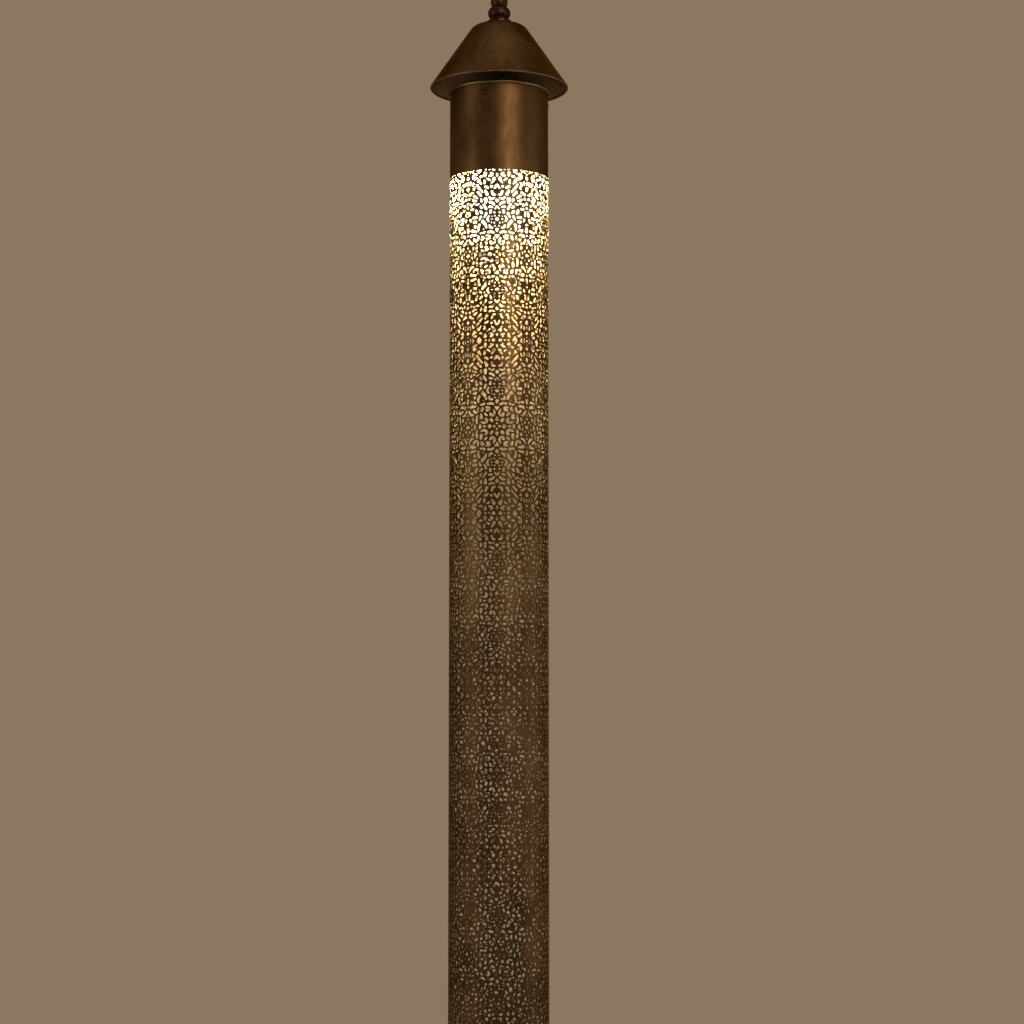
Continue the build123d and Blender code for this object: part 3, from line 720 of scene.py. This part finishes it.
def welded(points, triangles):
    """Points that fall on each other, also across the closing line of the tube, made one."""
    around = 2 * REPEATS_ROUND * CELL_WIDTH
    key = np.round(points / WELD_STEP).astype(np.int64)
    key[:, 0] %= int(round(around / WELD_STEP))
    _, first, inverse = np.unique(key, axis=0, return_index=True, return_inverse=True)
    return points[first], inverse.reshape(-1)[triangles]


def add_plain_bands(points):
    """The points, and the quads of the plain sleeve above the pattern and the plain band below."""
    quads = []
    above = (0.0, PIERCED_TOP - tube_high.z / MM)
    below = (PIERCED_LENGTH, PIERCED_TOP - tube_low.z / MM)
    for level, far in (above, below):
        rim = np.nonzero(np.abs(points[:, 1] - level) < ON_LINE)[0]
        rim = rim[np.argsort(points[rim, 0])]
        base = len(points)
        points = np.vstack([points, np.column_stack([points[rim, 0], np.full(len(rim), far)])])
        for k in range(len(rim)):
            after = (k + 1) % len(rim)
            quad = (rim[k], rim[after], base + after, base + k)
            quads.append(quad if far > level else quad[::-1])
    return points, quads


def set_normals(mesh, out, skin_faces):
    """Normals straight out on the outer skin, straight in on the inner one, and square to the
    cut on the openings' walls, which are the faces after those of the skins."""
    loop_vertex = np.zeros(len(mesh.loops), np.int32)
    mesh.loops.foreach_get("vertex_index", loop_vertex)
    totals = np.zeros(len(mesh.polygons), np.int32)
    mesh.polygons.foreach_get("loop_total", totals)
    face_of_loop = np.repeat(np.arange(len(totals)), totals)
    radial = np.column_stack([out, np.zeros(len(out))])
    normals = np.vstack([radial, -radial])[loop_vertex]
    face_normals = np.zeros(len(totals) * 3, np.float32)
    mesh.polygons.foreach_get("normal", face_normals)
    face_normals = face_normals.reshape(-1, 3)
    on_wall = face_of_loop >= skin_faces
    flat = face_normals[face_of_loop[on_wall]]
    vertex_sum = np.zeros((2 * len(out), 3))
    np.add.at(vertex_sum, loop_vertex[on_wall], flat)
    averaged = vertex_sum[loop_vertex[on_wall]]
    averaged /= np.maximum(np.linalg.norm(averaged, axis=1), 1e-9)[:, None]
    sharp = (averaged * flat).sum(axis=1) < SHARP_CORNER
    averaged[sharp] = flat[sharp]
    normals[on_wall] = averaged
    mesh.normals_split_custom_set(normals.tolist())


def tube_mesh():
    """The pierced tube with a real wall, as one closed mesh."""
    points, triangles = welded(*whole_pattern())
    points, quads = add_plain_bands(points)
    outer = [tuple(t) for t in triangles.tolist()] + [tuple(int(k) for k in q) for q in quads]
    # A side that no second face shares is the edge of an opening or of the tube. The dictionary
    # keeps the sides in their order.
    sides = {side: None for face in outer for side in zip(face, face[1:] + face[:1])}
    open_sides = [(a, b) for a, b in sides if (b, a) not in sides]
    count = len(points)
    angle = math.radians(PATTERN_AXIS) + points[:, 0] / TUBE_R
    height = (PIERCED_TOP - points[:, 1]) * MM
    # Azimuth 0 is the side that faces the camera, -Y, and it grows towards +X.
    out = np.column_stack([np.sin(angle), -np.cos(angle)])
    skins = [
        np.column_stack([out * radius * MM, height]) for radius in (TUBE_R, TUBE_R - TUBE_WALL)
    ]
    verts = np.vstack(skins)
    inner = [tuple(k + count for k in reversed(face)) for face in outer]
    walls = [(b, a, a + count, b + count) for a, b in open_sides]
    faces = outer + inner + walls
    mesh = bpy.data.meshes.new("tube_pierced")
    mesh.from_pydata(verts.tolist(), [], faces)
    first = verts[list(faces[0][:3])]
    normal = np.cross(first[1] - first[0], first[2] - first[0])
    if np.dot(normal[:2], first[0][:2]) < 0:
        mesh.flip_normals()
    # The inner skin and the cut edges take a lighter, duller copy of the brass: painted light from
    # the bulb.
    indices = np.zeros(len(faces), np.int32)
    indices[len(outer) :] = 1
    mesh.materials.append(dark_brass)
    mesh.materials.append(bulb_lit_inner_brass)
    mesh.polygons.foreach_set("material_index", indices)
    mesh.polygons.foreach_set("use_smooth", np.ones(len(faces), bool))
    set_normals(mesh, out, 2 * len(outer))
    return mesh


def add_tube():
    """The pierced tube, in place of its plain CAD solid."""
    piece = bpy.data.objects.new("tube_pierced", tube_mesh())
    bpy.context.scene.collection.objects.link(piece)
    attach(piece, "tube")
    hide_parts("tube")


def dress_nodes():
    """Every CAD node takes its own finish, or else the finish of its record slot."""
    for name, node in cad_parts.items():
        slot = node.data.materials[0].name.split(".")[0] if node.data.materials else ""
        material = OWN_MATERIALS.get(name) or SLOT_MATERIALS.get(slot, dark_brass)
        node.data.materials.clear()
        node.data.materials.append(material)


def add_stage():
    """A pale floor below the lamp, and a world that lights softly and shows a plain tan wall."""
    mesh = bpy.data.meshes.new("floor")
    turns = [2 * math.pi * k / FLOOR_SIDES for k in range(FLOOR_SIDES)]
    ring = [
        (FLOOR_RADIUS * math.cos(turn), FLOOR_RADIUS * math.sin(turn), FLOOR_LEVEL)
        for turn in turns
    ]
    mesh.from_pydata(ring, [], [tuple(range(FLOOR_SIDES))])
    floor = bpy.data.objects.new("floor", mesh)
    bpy.context.scene.collection.objects.link(floor)
    paint = plain_finish(
        "floor_paint", [(0.70, 0.66, 0.60), (0.72, 0.68, 0.62)], (0.7, 0.8), bump=0.0
    )
    mesh.materials.append(paint)

    world = bpy.data.worlds.new("studio")
    bpy.context.scene.world = world
    world.use_nodes = True
    tree = world.node_tree
    tree.nodes.clear()
    output = tree.nodes.new("ShaderNodeOutputWorld")
    light = tree.nodes.new("ShaderNodeBackground")
    light.inputs["Color"].default_value = SOFT_LIGHT
    light.inputs["Strength"].default_value = SOFT_LIGHT_STRENGTH
    seen = tree.nodes.new("ShaderNodeBackground")
    seen.inputs["Color"].default_value = WALL_COLOUR
    seen.inputs["Strength"].default_value = 1.0
    path = tree.nodes.new("ShaderNodeLightPath")
    mix = tree.nodes.new("ShaderNodeMixShader")
    shown = path.outputs["Is Camera Ray"]
    for ray in ("Is Glossy Ray", "Is Transmission Ray"):
        either = tree.nodes.new("ShaderNodeMath")
        either.operation = "MAXIMUM"
        tree.links.new(shown, either.inputs[0])
        tree.links.new(path.outputs[ray], either.inputs[1])
        shown = either.outputs[0]
    tree.links.new(shown, mix.inputs["Fac"])
    tree.links.new(light.outputs[0], mix.inputs[1])
    tree.links.new(seen.outputs[0], mix.inputs[2])
    tree.links.new(mix.outputs[0], output.inputs["Surface"])


def add_lamp(name, at, aim_height, size, power, colour):
    """A soft square lamp that points at the pendant's middle line, at a height."""
    data = bpy.data.lights.new(name, "AREA")
    data.energy = power
    data.size = size
    data.color = colour
    lamp = bpy.data.objects.new(name, data)
    lamp.location = at
    towards = Vector((0, 0, aim_height)) - Vector(at)
    lamp.rotation_euler = towards.to_track_quat("-Z", "Y").to_euler()
    bpy.context.scene.collection.objects.link(lamp)


def add_lights():
    """A soft key light high on the camera's right, and weak fills from both sides and above."""
    lamps = [
        # name, place, height that it points at, size, power, colour
        ("key", (1.14, -2.34, 0.70), -0.25, 1.3, 28.0, (1.0, 0.81, 0.56)),
        ("left fill", (-1.9, -0.9, -0.3), -0.6, 1.4, 5.0, (1.0, 0.88, 0.70)),
        ("right fill", (1.9, -0.2, -0.5), -0.6, 1.4, 4.5, (1.0, 0.88, 0.70)),
        ("top fill", (0.1, -0.3, 1.6), -0.1, 1.6, 3.5, (1.0, 0.90, 0.76)),
    ]
    for lamp in lamps:
        add_lamp(*lamp)


def add_bulb_light():
    """Small lamps round the glass and in a line below it, for the bulb's light inside the tube."""
    glass_low, _, glass_size = box_size("bulb_glass")
    globe_r = glass_size.x / 2
    globe_z = glass_low.z + globe_r
    ring_r = globe_r + RING_GAP
    places = []
    for height in (globe_z, globe_z + globe_r * UPPER_RING):
        for step in range(RING_LAMPS):
            angle = 2 * math.pi * (step + 0.5) / RING_LAMPS
            place = (ring_r * math.sin(angle), -ring_r * math.cos(angle), height)
            places.append((place, RING_POWER))
    for step in range(LINE_LAMPS):
        below = glass_low.z - LINE_GAP - step * LINE_STEP
        places.append(((0.0, 0.0, below), LINE_POWER * LINE_FADE**step))
    for index, (place, power) in enumerate(places):
        data = bpy.data.lights.new(f"bulb light {index}", "POINT")
        data.energy = power
        data.shadow_soft_size = SMALL_LAMP_RADIUS
        data.color = BULB_COLOUR
        lamp = bpy.data.objects.new(data.name, data)
        lamp.location = place
        lamp.visible_camera = False
        lamp.visible_glossy = False
        bpy.context.scene.collection.objects.link(lamp)
        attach(lamp, "bulb")


def add_camera():
    """The camera at the photograph's viewing angle."""
    data = bpy.data.cameras.new("camera")
    data.sensor_width = SENSOR
    data.lens = FOCAL_PIXELS / PHOTO_PIXELS * SENSOR
    camera = bpy.data.objects.new("camera", data)
    camera.location = (CAMERA_X, -CAMERA_AWAY, tube_high.z - CAMERA_BELOW_TUBE_TOP)
    camera.rotation_mode = "XYZ"
    camera.rotation_euler = (math.radians(90.0 + CAMERA_PITCH), 0.0, 0.0)
    bpy.context.scene.collection.objects.link(camera)
    bpy.context.scene.camera = camera


add_tube()
dress_nodes()
add_stage()
add_lights()
add_bulb_light()
add_camera()
bpy.context.scene.view_settings.view_transform = "Standard"
